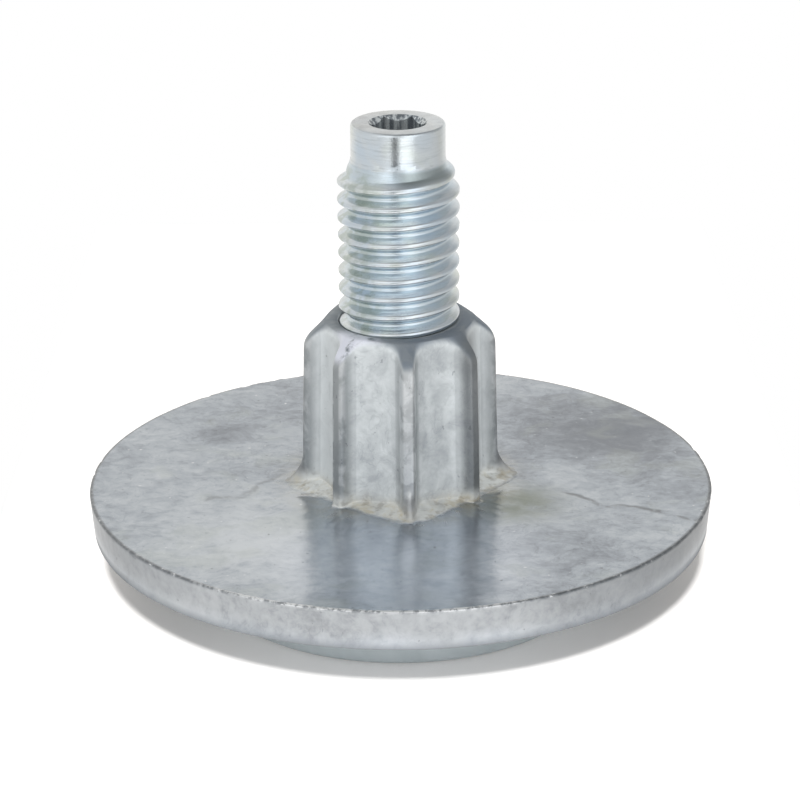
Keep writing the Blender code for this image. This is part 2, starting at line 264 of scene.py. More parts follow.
def smooth_min(a, b, width):
    """The smaller of two arrays, with the corner where they cross rounded over a width."""
    share = np.clip(0.5 + 0.5 * (b - a) / width, 0.0, 1.0)
    return b + (a - b) * share - width * share * (1.0 - share)


def smooth_max(a, b, width):
    return -smooth_min(-a, -b, width)


def step(value, low, high):
    """0 below low, 1 above high and smooth between."""
    share = np.clip((value - low) / (high - low), 0.0, 1.0)
    return share * share * (3.0 - 2.0 * share)


def arc_rows(radius, height, fillet, start, end, steps):
    """Profile points on an arc about (radius, height), from one direction to another, in degrees."""
    angles = np.radians(np.linspace(start, end, steps))
    return [(radius + fillet * math.cos(a), height + fillet * math.sin(a)) for a in angles]


def mesh_object(name, points, faces):
    mesh = bpy.data.meshes.new(name)
    mesh.from_pydata(points, [], faces)
    mesh.validate()
    mesh.shade_smooth()
    obj = bpy.data.objects.new(name, mesh)
    bpy.context.scene.collection.objects.link(obj)
    return obj


def add_masks(obj, masks):
    """Gives a mesh one number per point for each named mask, for its material to read."""
    for name, values in masks.items():
        layer = obj.data.attributes.new(name, "FLOAT", "POINT")
        layer.data.foreach_set("value", np.asarray(values, np.float32).reshape(-1))


def grid_object(name, points, loop_rows, cap_ends=False):
    """A mesh from points[row, column], closed around the columns, and along the rows or by its two ends."""
    rows, columns = points.shape[:2]
    ids = np.arange(rows * columns).reshape(rows, columns)
    low = ids if loop_rows else ids[:-1]
    high = np.roll(ids, -1, axis=0) if loop_rows else ids[1:]
    quads = [low, np.roll(low, -1, axis=1), np.roll(high, -1, axis=1), high]
    faces = np.stack(quads, axis=-1).reshape(-1, 4).tolist()
    if cap_ends:
        faces.append(ids[0, ::-1].tolist())
        faces.append(ids[-1].tolist())
    return mesh_object(name, points.reshape(-1, 3).tolist(), faces)


def polar(radius, height, angle):
    radius, height, angle = np.broadcast_arrays(radius, height, angle)
    return np.stack([radius * np.cos(angle), radius * np.sin(angle), height], axis=-1)


def noise_of(points, size, seed):
    """Smooth noise from about -1 to 1, with features of the given size."""
    offset = Vector((seed * 17.3, seed * 5.9, seed * 11.1))
    flat = points.reshape(-1, 3) / size
    values = [noise.noise(Vector(p) + offset) for p in flat]
    return np.array(values).reshape(points.shape[:-1])


def plinth_radius(turn):
    """Radius of a rounded square at angles counted from one of its corners."""
    sector = math.tau / PLINTH_CORNERS
    corner = (turn + sector / 2) % sector - sector / 2
    side = sector / 2 - np.abs(corner)
    straight = PLINTH_HALF_WIDTH / np.cos(side)
    centre = (PLINTH_HALF_WIDTH - PLINTH_CORNER_RADIUS) / math.cos(sector / 2)
    reach = PLINTH_CORNER_RADIUS**2 - (centre * np.sin(corner)) ** 2
    rounded = centre * np.cos(corner) + np.sqrt(np.maximum(reach, 0.0))
    flat = PLINTH_HALF_WIDTH * np.tan(side) <= PLINTH_HALF_WIDTH - PLINTH_CORNER_RADIUS
    return np.where(flat, straight, rounded)


def hub_radius(turn, height):
    """Radius of the hub's surface at angles counted from a land: lands, flutes, cone, plinth and webs."""
    sector = math.tau / FLUTE_COUNT
    from_land = (turn + sector / 2) % sector - sector / 2
    from_flute = sector / 2 - np.abs(from_land)
    above = height - PLATE_TOP
    land = LAND_RADIUS - above * HUB_DRAFT
    floor = (FLUTE_FLOOR - above * HUB_DRAFT) / np.cos(from_flute)
    share = np.minimum(from_flute / FLUTE_HALF_ANGLE, 1.0)
    wall = 1.0 - (1.0 - share**FLUTE_SQUARENESS) ** (1.0 / FLUTE_SQUARENESS)
    side = floor + (land - floor) * wall
    cone = HUB_TOP_RADIUS + (HUB_TOP - height) / HUB_CONE
    body = smooth_min(side, cone, SHOULDER_BLEND)
    # Averaging with the neighbours rounds the edges of the lands and of the arches over the flutes.
    for _ in range(SOFTENING):
        body = (np.roll(body, 1, axis=1) + 2.0 * body + np.roll(body, -1, axis=1)) / 4.0
        body[1:-1] = (body[:-2] + 2.0 * body[1:-1] + body[2:]) / 4.0
    ragged = PLINTH_RAGGED * noise_of(polar(LAND_RADIUS, 0.0, turn), RAGGED_SIZE, 4)
    plinth = plinth_radius(turn) + ragged - np.maximum(above - PLINTH_EDGE, 0.0) / PLINTH_SLOPE
    corner = math.tau / PLINTH_CORNERS
    aside = LAND_RADIUS * np.abs(np.sin((turn + corner / 2) % corner - corner / 2))
    web = LAND_RADIUS + WEB_REACH - above * WEB_REACH / WEB_HEIGHT
    web = web - WEB_FLANK * np.maximum(aside - WEB_HALF_WIDTH, 0.0)
    return smooth_max(body, smooth_max(plinth, web, WEB_BLEND), FOOT_BLEND)


def column_turns():
    """Angles of the casting's columns, counted from the land in front."""
    return np.arange(CASTING_COLUMNS)[None, :] * math.tau / CASTING_COLUMNS


def hub_levels():
    """Heights of the hub's rows, from its top down to the plate."""
    cone_end = HUB_TOP - CONE_ZONE
    foot_start = PLATE_TOP + FOOT_ZONE
    ledge_start = PLATE_TOP + LEDGE_ZONE
    levels = [
        np.linspace(HUB_TOP, cone_end, CONE_ROWS),
        np.linspace(cone_end, foot_start, WALL_ROWS)[1:],
        np.linspace(foot_start, ledge_start, FOOT_ROWS)[1:],
        np.linspace(ledge_start, PLATE_TOP, LEDGE_ROWS)[1:],
    ]
    return np.concatenate(levels)[:, None]


def rim_profile():
    """Profile points from the rim's top edge down, and under the plate to the pad's socket."""
    lip = PLATE_BOTTOM - RIM_LIP
    rim_bottom = PLATE_RADIUS - (PLATE_TOP - lip) * math.tan(RIM_DRAFT)
    fillet = RIM_TOP_RADIUS
    profile = arc_rows(PLATE_RADIUS - fillet, PLATE_TOP - fillet, fillet, 90, 0, FILLET_ROWS)
    for share in RIM_SHARES:
        z = PLATE_TOP + (lip - PLATE_TOP) * share
        profile.append((PLATE_RADIUS + (rim_bottom - PLATE_RADIUS) * share, z))
    fillet = RIM_BOTTOM_RADIUS
    profile += arc_rows(rim_bottom - fillet, lip + fillet, fillet, 0, -90, FILLET_ROWS)
    inner = rim_bottom - RIM_LIP_WIDTH
    profile += [(inner, lip), (inner - RIM_LIP, PLATE_BOTTOM)]
    across = np.linspace(inner - RIM_LIP, SOCKET_RADIUS, UNDER_ROWS)[1:-1]
    profile += [(r, PLATE_BOTTOM) for r in across]
    profile += [
        (SOCKET_RADIUS + SOCKET_EDGE, PLATE_BOTTOM),
        (SOCKET_RADIUS, PLATE_BOTTOM + SOCKET_EDGE),
        (SOCKET_RADIUS, STUD_BOTTOM),
    ]
    return profile


def casting_points():
    """The casting's closed profile at every column, from the bore over the hub and the plate and back."""
    turn = column_turns()
    angle = turn + LAND_AZIMUTH - math.pi / 2
    columns = np.ones_like(turn)
    levels = hub_levels()
    hub = hub_radius(turn, levels)
    tapped = np.linspace(HUB_TOP - TAPPED_DEPTH, HUB_TOP - MOUTH_CHAMFER, TAPPED_ROWS)[:, None]
    mouth = BORE_RADIUS + MOUTH_CHAMFER
    radii = [columns * BORE_RADIUS, columns * BORE_RADIUS]
    heights = [columns * STUD_BOTTOM, columns * (HUB_TOP - TAPPED_DEPTH - THREAD_GAP)]
    radii.append(np.minimum(thread_radius(tapped, angle) + THREAD_GAP, BORE_RADIUS))
    heights.append(tapped * columns)
    for share in (0.0, 0.5):
        radii.append(mouth + (hub[:1] - mouth) * share)
        heights.append(columns * HUB_TOP)
    radii.append(hub)
    heights.append(levels * columns)
    toe = hub[-1:]
    for share in np.linspace(0.0, 1.0, PLATE_ROWS)[1:-1]:
        radii.append(toe + (PLATE_RADIUS - RIM_TOP_RADIUS - toe) * share)
        heights.append(columns * PLATE_TOP)
    radii.append(columns * (PLATE_RADIUS - RIM_TOP_RADIUS - EDGE_LINE))
    heights.append(columns * PLATE_TOP)
    for r, z in rim_profile():
        radii.append(columns * r)
        heights.append(columns * z)
    return cast_skin(polar(np.concatenate(radii), np.concatenate(heights), angle))


def cast_skin(points):
    """Gives the outside the slight waves of a casting, the ledge lumps, and the rim's top edge nicks."""
    radius = np.hypot(points[..., 0], points[..., 1])[..., None]
    height = points[..., 2:]
    outward = np.concatenate([points[..., :2] / radius, np.zeros_like(height)], axis=-1)
    upward = np.broadcast_to((0.0, 0.0, 1.0), points.shape)
    wave = noise_of(points, BROAD_WAVE, 1) + 0.5 * noise_of(points, FINE_WAVE, 2)
    hub = step(height, *HUB_WAVES) * (radius > HUB_INSIDE)
    plate = (height > UPPER_SIDE) * step(radius, *PLATE_WAVES)
    rim = step(radius, *RIM_WAVES)
    along = noise_of(points * (1.0, 1.0, 0.3), NICK_LENGTH, 3)
    nick = step(along, *NICK_NOISE)[..., None] * rim * step(height, *NICK_FADE)
    skin = WAVINESS * wave[..., None]
    ledge = (radius > FLUTE_FLOOR) * (radius < LEDGE_OUTSIDE) * (height > UPPER_SIDE)
    ledge = ledge * (1.0 - step(height, *LEDGE_FADE))
    lumps = noise_of(points, LUMP_SIZE, 5) + 0.6 * noise_of(points, FINE_LUMP_SIZE, 6)
    moved = points + skin * (outward * np.maximum(hub, rim) + upward * plate * (1.0 - rim))
    moved = moved + LEDGE_ROUGHNESS * lumps[..., None] * ledge * upward
    return moved - NICK_DEPTH * nick * (outward + 0.5 * upward)


def mark_casting(casting, points):
    """Masks for the finish: the hub's sides, cone, foot and webs, the rim, the edges and the underside, and
    for the painted shade in the flutes' corners and the painted highlights on the lands' edges.
    """
    radius = np.hypot(points[..., 0], points[..., 1])
    height = points[..., 2]
    outside = (radius > MASK_INSIDE) | (height > TOP_FACE)
    above = height - PLATE_TOP
    shoulder = HUB_TOP_RADIUS + (HUB_TOP - height) / HUB_CONE
    below_cone = step(shoulder - radius, *CONE_FADE)
    top = step(height, *TOP_FADE)
    side = np.minimum(below_cone, 1.0 - top)
    sunk = step(LAND_RADIUS - above * HUB_DRAFT - radius, *FLUTE_FADE)
    hub = step(above, *HUB_FADE) * outside * (radius < MASK_OUTSIDE)
    foot = hub * (1.0 - step(above, *FOOT_FADE))
    matt = np.maximum(sunk, foot)
    rim = step(radius, *RIM_FADE)
    aside = LAND_RADIUS * np.abs(np.sin(PLINTH_CORNERS / 2 * column_turns())) * 2 / PLINTH_CORNERS
    on_web = 1.0 - step(aside, *WEB_SIDE_FADE)
    # Painted shade lies in the corners of the flutes, and painted highlights on the edges of the lands.
    bend = np.roll(radius, 2, axis=1) + np.roll(radius, -2, axis=1) - 2.0 * radius
    wall = hub * below_cone * step(above, *WALL_FADE)
    masks = {
        "matt": hub * side * matt,
        "land": hub * side * (1.0 - matt),
        "cone": hub * (1.0 - side),
        "hub": hub,
        "rim": rim,
        "stain": foot,
        "edge": rim * step(above, *EDGE_FADE),
        "under": step(PLATE_BOTTOM - height, *UNDER_FADE),
        "web": hub * on_web * (1.0 - step(above, *WEB_TOP_FADE)),
        "corner": wall * step(bend, *CORNER_BEND),
        "highlit_edge": wall * step(-bend, *HIGHLIT_BEND),
    }
    add_masks(casting, masks)


def make_casting():
    # The profile starts up the bore, so its rows are taken from the other end for faces that point out.
    points = casting_points()[::-1]
    casting = grid_object("base_casting_cast", points, loop_rows=True)
    mark_casting(casting, points)
    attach(casting, "base")
    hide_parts("base_casting")
    return casting


def thread_radius(height, angle):
    """Radius of the right-hand thread: its root narrows to the neck, and its ridge grows over one turn."""
    turns = (height - CREST_LEVEL) / PITCH - (angle - CREST_ANGLE) / math.tau
    past_crest = (turns + 0.5) % 1.0 - 0.5
    share = np.clip((np.abs(past_crest) - CREST_HALF_WIDTH) / (0.5 - 2 * CREST_HALF_WIDTH), 0.0, 1.0)
    ridge = 1.0 - share + np.sin(math.tau * share) * FLANK_CURVE
    grown = np.clip((FIRST_CREST - height) / PITCH + past_crest, 0.0, 1.0)
    root = THREAD_RADIUS - THREAD_DEPTH
    lead = NECK_RADIUS + (NECK_FOOT - height) * LEAD_SLOPE
    return smooth_min(root, lead, ROOT_BLEND) + THREAD_DEPTH * ridge * grown


def stud_points():
    """Heights, radii and angles of rows that climb with the thread, so that its crest runs along them."""
    columns = np.arange(STUD_COLUMNS)[None, :]
    angle = columns * math.tau / STUD_COLUMNS
    low = STUD_BOTTOM
    high = NECK_FOOT + NECK_BLEND
    rise = PITCH / ROWS_PER_PITCH
    start = CREST_LEVEL - math.ceil((CREST_LEVEL - low + PITCH) / rise) * rise
    count = math.ceil((high - start) / rise) + 1
    climb = start + np.arange(count)[:, None] * rise + PITCH * columns / STUD_COLUMNS
    height = np.clip(climb, low, high)
    tip = THREAD_RADIUS - END_CHAMFER + (height - low)
    radius = smooth_min(thread_radius(height, angle), tip, TIP_BLEND)
    radius = smooth_max(radius, np.where(height > NECK_FOOT - PITCH, NECK_RADIUS, 0.0), NECK_BLEND)
    return height, radius, angle


def stud_rings():
    """The bottom ring, the rows of the thread with their heights, and the rings of neck and socket."""
    height, radius, angle = stud_points()
    radius[height >= height.max()] = NECK_RADIUS
    radius[height <= height.min()] = THREAD_RADIUS - END_CHAMFER
    hexagon = np.pi / 6 - np.abs(angle % (np.pi / 3) - np.pi / 6)
    hex_radius = HEX_ACROSS_FLATS / 2 / np.cos(np.pi / 6 - hexagon)
    rim = HEX_ACROSS_FLATS / 2 / math.cos(math.pi / 6) + HEX_MOUTH_MARGIN
    ones = np.ones_like(angle)
    neck = NECK_RADIUS - NECK_CHAMFER
    neck_top = STUD_TOP - NECK_CHAMFER
    ends = [(NECK_RADIUS, z) for z in np.linspace(height.max(), neck_top, NECK_ROWS)[1:]]
    ends += arc_rows(neck, neck_top, NECK_CHAMFER, 0, 90, FILLET_ROWS)[1:]
    ends += [(rim + (neck - rim) * share, STUD_TOP) for share in (0.5, 0.04, 0.0)]
    tops = [(ones * r, ones * z) for r, z in ends]
    tops.append((hex_radius, STUD_TOP - (rim - hex_radius) * HEX_MOUTH_SLOPE))
    tops.append((hex_radius, ones * (STUD_TOP - HEX_DEPTH)))
    bottom = polar(ones * (THREAD_RADIUS - END_CHAMFER) * 0.5, ones * STUD_BOTTOM, angle)[0]
    return bottom, polar(radius, height, angle), height, [polar(r, z, angle)[0] for r, z in tops]


def add_ring(points, ring):
    first = len(points)
    points.extend(ring.tolist())
    return list(range(first, first + len(ring)))


def stud_faces(points):
    """Adds the stud's points to a list and gives the faces between them, without those that fall together."""
    bottom, body, height, rings = stud_rings()
    low_ring = add_ring(points, body[0])
    high_ring = add_ring(points, body[-1])
    rows = []
    for row, level in zip(body, height):
        ids = add_ring(points, row)
        # Places past either end of the thread are those of the ring there.
        clipped = [
            low_ring[j] if z <= STUD_BOTTOM else high_ring[j] if z >= height.max() else ids[j]
            for j, z in enumerate(level)
        ]
        rows.append(clipped)
    faces = []

    def bridge(a, b):
        face = list(dict.fromkeys(a + b[::-1]))
        if len(face) > 2:
            faces.append(face)

    # The last column meets the first one pitch, ROWS_PER_PITCH rows, higher.
    last = len(rows) - 1
    for i in range(last):
        for j in range(STUD_COLUMNS - 1):
            bridge(rows[i][j : j + 2], rows[i + 1][j : j + 2])
    for i in range(last):
        up = min(i + ROWS_PER_PITCH, last)
        upper = min(i + 1 + ROWS_PER_PITCH, last)
        bridge([rows[i][-1], rows[up][0]], [rows[i + 1][-1], rows[upper][0]])
    for i in range(ROWS_PER_PITCH):
        bridge([low_ring[-1], rows[i][0]], [low_ring[-1], rows[i + 1][0]])
    bottom_ids = add_ring(points, bottom)
    top_ids = [high_ring, *[add_ring(points, ring) for ring in rings]]
    for low, high in [(bottom_ids, low_ring), *zip(top_ids, top_ids[1:])]:
        for j in range(STUD_COLUMNS):
            k = (j + 1) % STUD_COLUMNS
            bridge([low[j], low[k]], [high[j], high[k]])
    faces.append(bottom_ids[::-1])
    faces.append(top_ids[-1])
    return faces


def mark_stud(stud, place):
    """Masks for the finish: the thread and its roots, the end face, the painted shade where the first groove
    runs out, and the socket.
    """
    height = place[:, 2]
    reach = np.hypot(place[:, 0], place[:, 1])
    depth = (THREAD_RADIUS - reach) / THREAD_DEPTH
    face = (reach < NECK_RADIUS - NECK_CHAMFER * 0.5) & (height > STUD_TOP - END_FACE_DEPTH)
    # Painted shade lies where the first groove runs out, on the right of the front.
    azimuth = np.degrees(np.arctan2(place[:, 0], -place[:, 1]))
    below = STUD_TOP - height
    groove_shade = step(azimuth, *RUN_OUT_START) * (1.0 - step(azimuth, *RUN_OUT_END))
    groove_shade = groove_shade * step(below, *RUN_OUT_TOP) * (1.0 - step(below, *RUN_OUT_BOTTOM))
    inside = reach < HEX_ACROSS_FLATS / math.sqrt(3.0) + HEX_MOUTH_MARGIN * 1.01
    masks = {
        "root": np.where(height < NECK_FOOT, step(depth, *ROOT_FADE), 0.0),
        "thread": 1.0 - step(height, *THREAD_FADE),
        "face": face,
        "groove_shade": groove_shade,
        "recess": inside & (height > STUD_TOP - HEX_DEPTH * 1.1),
    }
    add_masks(stud, masks)


def make_stud():
    points = []
    faces = stud_faces(points)
    stud = mesh_object("threaded_stud_plated", points, faces)
    stud.data.set_sharp_from_angle(angle=SHARP_ANGLE)
    mark_stud(stud, np.array(points))
    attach(stud, "stud")
    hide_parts("threaded_stud")
    return stud


def make_pad():
    """The moulded pad: floor face, rounded edge, drafted side, seat and spigot."""
    seat = PAD_RADIUS + PAD_TOP * PAD_DRAFT
    edge = PAD_EDGE_RADIUS
    profile = [(r, 0.0) for r in np.linspace(PAD_MIDDLE, PAD_RADIUS - edge, PAD_FACE_ROWS)[:-1]]
    profile += arc_rows(PAD_RADIUS - edge, edge, edge, -90, 0, PAD_EDGE_ROWS)
    profile += arc_rows(seat - edge, PAD_TOP - edge, edge, 0, 90, PAD_EDGE_ROWS)
    profile += [(r, PAD_TOP) for r in np.linspace(seat - edge, SPIGOT_RADIUS, PAD_SEAT_ROWS)[1:]]
    profile += [
        (SPIGOT_RADIUS, SPIGOT_TOP - SPIGOT_LEAD_IN),
        (SPIGOT_RADIUS - SPIGOT_LEAD_IN, SPIGOT_TOP),
        (PAD_MIDDLE, SPIGOT_TOP),
    ]
    radius = np.array([r for r, _ in profile])[:, None]
    height = np.array([z for _, z in profile])[:, None]
    angle = np.arange(PAD_COLUMNS)[None, :] * math.tau / PAD_COLUMNS
    pad = grid_object("glide_pad_moulded", polar(radius, height, angle), loop_rows=False, cap_ends=True)
    pad.data.set_sharp_from_angle(angle=SHARP_ANGLE)
    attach(pad, "pad")
    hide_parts("glide_pad")
    return pad


class Shader:
    """Short calls that build the node tree of one material round its Principled shader."""

    def __init__(self, name):
        self.material = bpy.data.materials.new(name)
        self.material.use_nodes = True
        self.tree = self.material.node_tree
        self.out = self.tree.nodes["Principled BSDF"]
        self.place = self.vector("SCALE", self.add("ShaderNodeTexCoord").outputs["Object"], scale=1.0 / MM)

    def add(self, kind, **settings):
        node = self.tree.nodes.new(kind)
        for key, value in settings.items():
            setattr(node, key, value)
        return node

    def put(self, socket, value):
        """Links a socket to a node's output, or sets its own value."""
        if isinstance(value, bpy.types.NodeSocket):
            self.tree.links.new(value, socket)
        else:
            socket.default_value = value

    def set(self, **inputs):
        """Sets the Principled shader's inputs, named with _ for a space."""
        for key, value in inputs.items():
            self.put(self.out.inputs[key.replace("_", " ").title()], value)

    def math(self, operation, a, b=0.0, c=0.0, clamp=False):
        node = self.add("ShaderNodeMath", operation=operation, use_clamp=clamp)
        for socket, value in zip(node.inputs, (a, b, c)):
            self.put(socket, value)
        return node.outputs[0]

    def vector(self, operation, a, b=(0.0, 0.0, 0.0), scale=1.0):
        node = self.add("ShaderNodeVectorMath", operation=operation)
        self.put(node.inputs[0], a)
        if operation == "SCALE":
            self.put(node.inputs["Scale"], scale)
        else:
            self.put(node.inputs[1], b)
        return node.outputs["Value" if operation in ("LENGTH", "DISTANCE") else "Vector"]

    def noise(self, place, frequency, detail=3.0, roughness=0.55, distortion=0.0):
        """Noise around 0.5, with its frequency in features per millimetre."""
        node = self.add("ShaderNodeTexNoise")
        self.put(node.inputs["Vector"], place)
        node.inputs["Scale"].default_value = frequency
        node.inputs["Detail"].default_value = detail
        node.inputs["Roughness"].default_value = roughness
        node.inputs["Distortion"].default_value = distortion
        return node.outputs["Fac"]

    def remap(self, value, low, high, to_low=0.0, to_high=1.0):
        node = self.add("ShaderNodeMapRange", interpolation_type="SMOOTHSTEP")
        for socket, number in zip(node.inputs, (value, low, high, to_low, to_high)):
            self.put(socket, number)
        return node.outputs["Result"]

    def ramp(self, value, stops):
        """Colours at given places along a value."""
        node = self.add("ShaderNodeValToRGB")
        elements = node.color_ramp.elements
        elements.remove(elements[1])
        for i, (place, colour) in enumerate(stops):
            element = elements[0] if i == 0 else elements.new(place)
            element.position = place
            element.color = (*colour, 1.0)
        self.put(node.inputs["Fac"], value)
        return node.outputs["Color"]

    def mix(self, share, a, b, blend="MIX"):
        node = self.add("ShaderNodeMix", data_type="RGBA", blend_type=blend)
        self.put(node.inputs["Factor"], share)
        for socket, value in zip((node.inputs[6], node.inputs[7]), (a, b)):
            self.put(socket, (*value, 1.0) if isinstance(value, tuple) else value)
        return node.outputs[2]

    def segment(self, place, start, end):
        """Distance of a place from a straight line between two points."""
        along = Vector(end) - Vector(start)
        away = self.vector("SUBTRACT", place, start)
        dot = self.add("ShaderNodeVectorMath", operation="DOT_PRODUCT")
        self.put(dot.inputs[0], away)
        self.put(dot.inputs[1], along / along.length_squared)
        share = self.math("ADD", dot.outputs["Value"], 0.0, clamp=True)
        foot = self.vector("SCALE", tuple(along), scale=share)
        return self.vector("LENGTH", self.vector("SUBTRACT", away, foot))

    def attribute(self, name):
        return self.add("ShaderNodeAttribute", attribute_name=name).outputs["Fac"]

    def axis(self, name):
        """One coordinate of the place, in millimetres."""
        node = self.add("ShaderNodeSeparateXYZ")
        self.put(node.inputs[0], self.place)
        return node.outputs[name]

    def near(self, place, centre, full, none, most=1.0):
        """A mark that is full within one distance of its centre, and gone past another."""
        return self.remap(self.vector("DISTANCE", place, centre), full, none, most, 0.0)

    def vary(self, tone, pattern, amount):
        """A tone that a noise around 0.5 moves up and down."""
        return self.math("MULTIPLY_ADD", self.math("SUBTRACT", pattern, 0.5), amount, tone)

    def bump(self, height, distance):
        """Bumps from a height of 0 to 1, as deep as the distance, in metres."""
        node = self.add("ShaderNodeBump")
        node.inputs["Strength"].default_value = 1.0
        node.inputs["Distance"].default_value = distance
        self.put(node.inputs["Height"], height)
        self.put(self.out.inputs["Normal"], node.outputs["Normal"])


# Colours of the casting: tones of its zones from dark to light, then those of single marks and of painted
# light and shade
TONE_RANGE = (0.36, 0.88)
PLATE_TONES = ((0.0, (0.18, 0.20, 0.23)), (0.5, (0.37, 0.41, 0.455)), (1.0, (0.55, 0.59, 0.63)))
HUB_TONES = ((0.0, (0.28, 0.30, 0.315)), (0.5, (0.425, 0.45, 0.46)), (1.0, (0.535, 0.565, 0.575)))
RIM_TONES = ((0.0, (0.24, 0.255, 0.27)), (0.5, (0.338, 0.358, 0.378)), (1.0, (0.41, 0.43, 0.45)))
FRONT_SHEEN = (0.145, 0.152, 0.180)
WARM_SKIN = (0.41, 0.45, 0.41)
PAINTED_GLINT = (0.78, 0.80, 0.82)
OLIVE_TONE = (0.19, 0.215, 0.18)
RIM_SIDE_SHADE = (0.225, 0.24, 0.255)
CONE_SHADE = (0.300, 0.342, 0.388)
CONE_HIGHLIGHT = (0.84, 0.86, 0.92)
LAND_SKIN = (0.32, 0.34, 0.35)
LAND_HIGHLIGHT_DIM = (0.62, 0.64, 0.65)
LAND_HIGHLIGHT_FULL = (0.96, 0.98, 0.99)
LAND_SHADE_COLOUR = (0.20, 0.21, 0.22)
CORNER_SHADE = (0.20, 0.215, 0.225)
ARCH_SHADE = (0.22, 0.235, 0.24)
LAND_EDGE_HIGHLIGHT = (0.74, 0.76, 0.77)
WEB_SKIN = (0.21, 0.22, 0.23)
LEDGE_STAIN = (0.33, 0.312, 0.256)
LEDGE_SPECK = (0.16, 0.15, 0.13)
DARK_MARK_AND_SHADE = (0.13, 0.14, 0.15)
EDGE_GLINT = (0.86, 0.88, 0.89)
# Roughness of the plate, and how much each mask adds to it
PLATE_ROUGHNESS = 0.120
ADDED_ROUGHNESS = (
    ("hub", 0.21),
    ("rim", 0.15),
    ("matt", 0.14),
    ("cone", 0.32),
    ("land", 0.08),
    ("under", 0.5),
)
CAST_BUMP = 0.03 * MM


class CastPattern:
    """The noise that all zones of the casting share, and its tone from dark to light."""

    def __init__(self, s):
        warp = s.add("ShaderNodeTexNoise")
        s.put(warp.inputs["Vector"], s.place)
        warp.inputs["Scale"].default_value = 0.30
        warp.inputs["Detail"].default_value = 3.0
        self.bend = s.vector("SCALE", s.vector("SUBTRACT", warp.outputs["Color"], (0.5, 0.5, 0.5)), scale=3.0)
        bent = s.vector("ADD", s.place, self.bend)
        self.place = s.vector("MULTIPLY", bent, (0.8, 0.9, 0.6))
        self.flat = s.vector("MULTIPLY", s.place, (1.0, 1.0, 0.0))
        self.mottle = s.noise(self.place, 0.8, 4.0, 0.62)
        self.grain = s.noise(s.vector("MULTIPLY", s.place, (0.8, 1.0, 1.0)), 4.0, 3.0, 0.65)
        self.streak = s.noise(s.vector("MULTIPLY", bent, (0.7, 1.0, 0.7)), 1.1, 3.0, 0.6)
        self.fleck = s.noise(s.place, 1.5, 3.0, 0.55)
        cloud = s.noise(self.place, 0.16, 3.0, 0.6)
        vein = s.noise(self.place, 0.42, 4.0, 0.6, 1.2)
        veins = s.remap(s.math("ABSOLUTE", s.math("SUBTRACT", vein, 0.5)), 0.0, 0.025, 1.0, 0.0)
        tone = s.math("MULTIPLY_ADD", cloud, 0.30, s.math("MULTIPLY", self.mottle, 0.40))
        tone = s.math("SUBTRACT", tone, s.math("MULTIPLY", veins, 0.05))
        tone = s.math("MULTIPLY_ADD", self.streak, 0.34, tone)
        tone = s.math("MULTIPLY_ADD", self.grain, 0.10, s.math("ADD", tone, 0.07))
        # Patches of painted shade and painted light, darker mostly at the right and back and lighter mostly
        # in front
        for centre, radius, share in SHADE_AND_LIGHT_PATCHES:
            tone = s.math("SUBTRACT", tone, s.near(self.flat, centre, 0.0, radius, share))
        self.tone = tone


def plate_colour(s, cast):
    """The plate's calm skin, with a painted sheen in front, warm clouds, painted glints and a dark olive
    patch.
    """
    calm = s.vary(cast.tone, cast.streak, -0.16)
    calm = s.vary(calm, cast.mottle, -0.10)
    calm = s.vary(calm, cast.grain, -0.06)
    colour = s.ramp(s.remap(s.vary(calm, cast.fleck, 0.12), *TONE_RANGE), PLATE_TONES)
    # A painted sheen brightens the plate in front of the hub, where the hub is mirrored.
    colour = s.mix(s.near(cast.flat, FRONT_SHEEN_CENTRE, 3.0, 14.0), colour, FRONT_SHEEN, "ADD")
    warm = s.remap(s.noise(cast.place, 0.23, 2.0), 0.52, 0.66)
    colour = s.mix(s.math("MULTIPLY", warm, 0.20), colour, WARM_SKIN)
    # Painted glints: small bright specks scattered over the skin.
    glints = s.remap(s.noise(s.place, 1.9, 2.0, 0.5), 0.72, 0.77, 0.0, 0.7)
    colour = s.mix(glints, colour, PAINTED_GLINT)
    # A dark olive patch on the plate right of the hub's foot.
    olive = s.near(cast.flat, OLIVE_PATCH_CENTRE, 0.5, 6.0)
    olive = s.math("MULTIPLY", olive, s.remap(cast.mottle, 0.30, 0.62, 0.45, 0.9))
    return s.mix(olive, colour, OLIVE_TONE)


